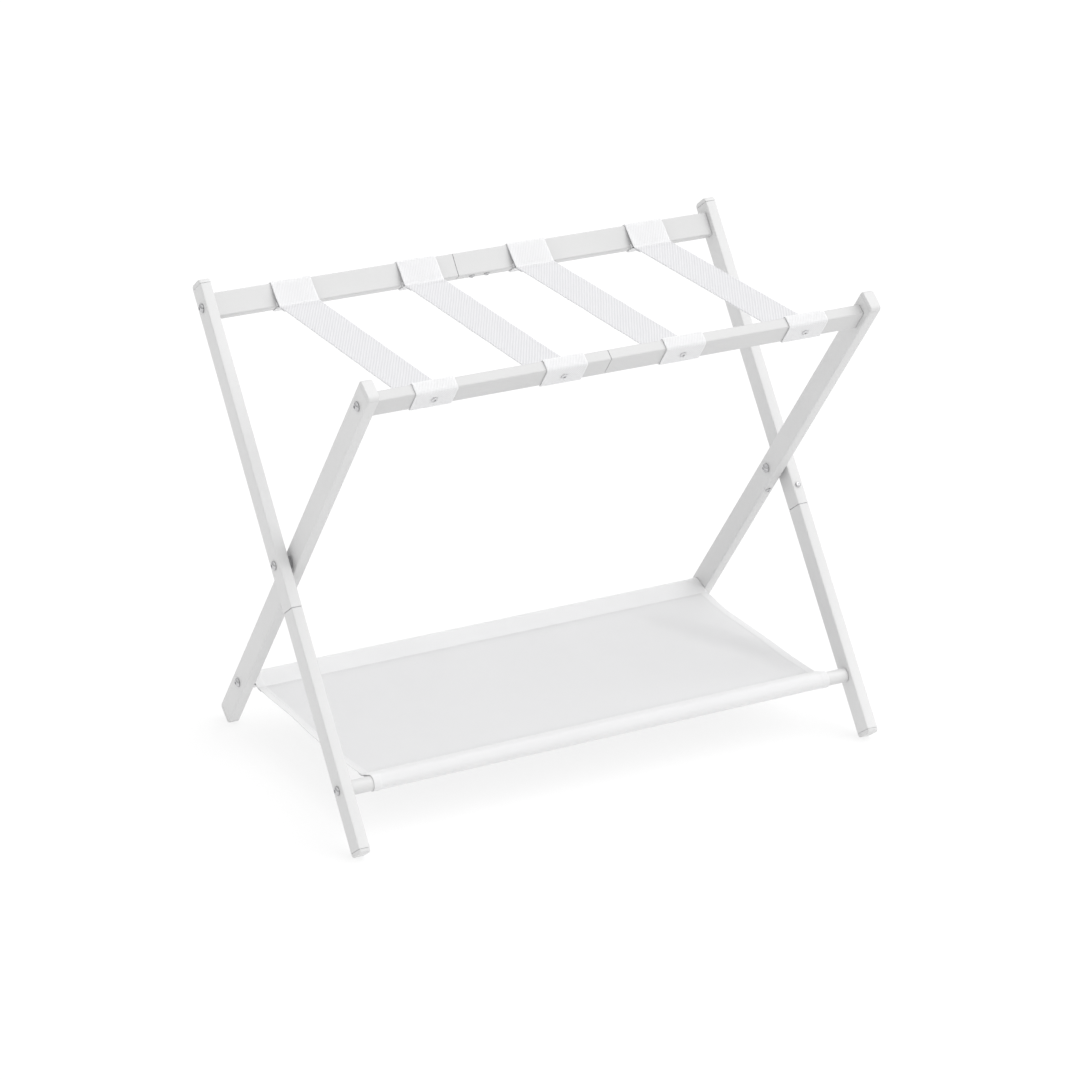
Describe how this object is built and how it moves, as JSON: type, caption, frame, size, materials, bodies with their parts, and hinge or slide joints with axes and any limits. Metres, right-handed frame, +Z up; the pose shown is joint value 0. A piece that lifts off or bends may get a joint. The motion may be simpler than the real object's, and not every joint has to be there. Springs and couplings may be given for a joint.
{
  "type": "folding luggage rack",
  "caption": "Folding X-frame luggage rack with webbing straps across the top and a fabric sling shelf between the lower bars.",
  "frame": {"origin": "on the floor, under the middle of the pivot line, with the rack standing open", "axes": "+X along the rails and the pivot line, +Y towards the back rail, +Z up"},
  "size_m": [0.6454, 0.399, 0.5276],
  "materials": {
    "powder_coat": "satin white powder coat",
    "cap_plastic": "moulded",
    "bright_steel": "bright plated",
    "plain_steel": "plain",
    "nylon": "moulded",
    "webbing": "ribbed polyester webbing",
    "canvas": "plain woven polyester"
  },
  "bodies": {
    "outer_frame": {"back_rail_joiner": "plain_steel", "back_rail_joiner_screw_1": "bright_steel", "back_rail_joiner_screw_2": "bright_steel", "back_rail_left": "powder_coat", "back_rail_right": "powder_coat", "front_bar": "powder_coat", "outer_bar_bolt_left": "bright_steel", "outer_bar_bolt_right": "bright_steel", "outer_cap_left_foot": "cap_plastic", "outer_cap_left_top": "cap_plastic", "outer_cap_right_foot": "cap_plastic", "outer_cap_right_top": "cap_plastic", "outer_leg_left_joiner": "plain_steel", "outer_leg_left_lower": "powder_coat", "outer_leg_left_upper": "powder_coat", "outer_leg_right_joiner": "plain_steel", "outer_leg_right_lower": "powder_coat", "outer_leg_right_upper": "powder_coat", "outer_leg_screw_left": "bright_steel", "outer_leg_screw_right": "bright_steel", "outer_rail_bolt_left": "bright_steel", "outer_rail_bolt_right": "bright_steel", "pivot_bolt_left": "bright_steel", "pivot_bolt_right": "bright_steel", "pivot_spacer_left": "nylon", "pivot_spacer_right": "nylon", "shelf_fabric": "canvas", "strap_left": "webbing", "strap_mid_left": "webbing", "strap_mid_right": "webbing", "strap_right": "webbing", "strap_screw_left_back": "bright_steel", "strap_screw_mid_left_back": "bright_steel", "strap_screw_mid_right_back": "bright_steel", "strap_screw_right_back": "bright_steel"},
    "inner_frame": {"back_bar": "powder_coat", "front_rail_joiner": "plain_steel", "front_rail_joiner_screw_1": "bright_steel", "front_rail_joiner_screw_2": "bright_steel", "front_rail_left": "powder_coat", "front_rail_right": "powder_coat", "inner_bar_bolt_left": "bright_steel", "inner_bar_bolt_right": "bright_steel", "inner_cap_left_foot": "cap_plastic", "inner_cap_left_top": "cap_plastic", "inner_cap_right_foot": "cap_plastic", "inner_cap_right_top": "cap_plastic", "inner_leg_left": "powder_coat", "inner_leg_right": "powder_coat", "inner_leg_screw_left": "bright_steel", "inner_leg_screw_right": "bright_steel", "inner_rail_bolt_left": "bright_steel", "inner_rail_bolt_right": "bright_steel", "pivot_nut_left": "bright_steel", "pivot_nut_right": "bright_steel", "strap_screw_left_front": "bright_steel", "strap_screw_mid_left_front": "bright_steel", "strap_screw_mid_right_front": "bright_steel", "strap_screw_right_front": "bright_steel"}
  },
  "joints": [
    {"name": "fold", "type": "hinge", "parent": "outer_frame", "child": "inner_frame", "pos_m": [0, 0, 0.26379], "axis": [-1, 0, 0], "range_deg": [0, 68], "deforming": ["shelf_fabric", "strap_left", "strap_mid_left", "strap_mid_right", "strap_right"]}
  ]
}
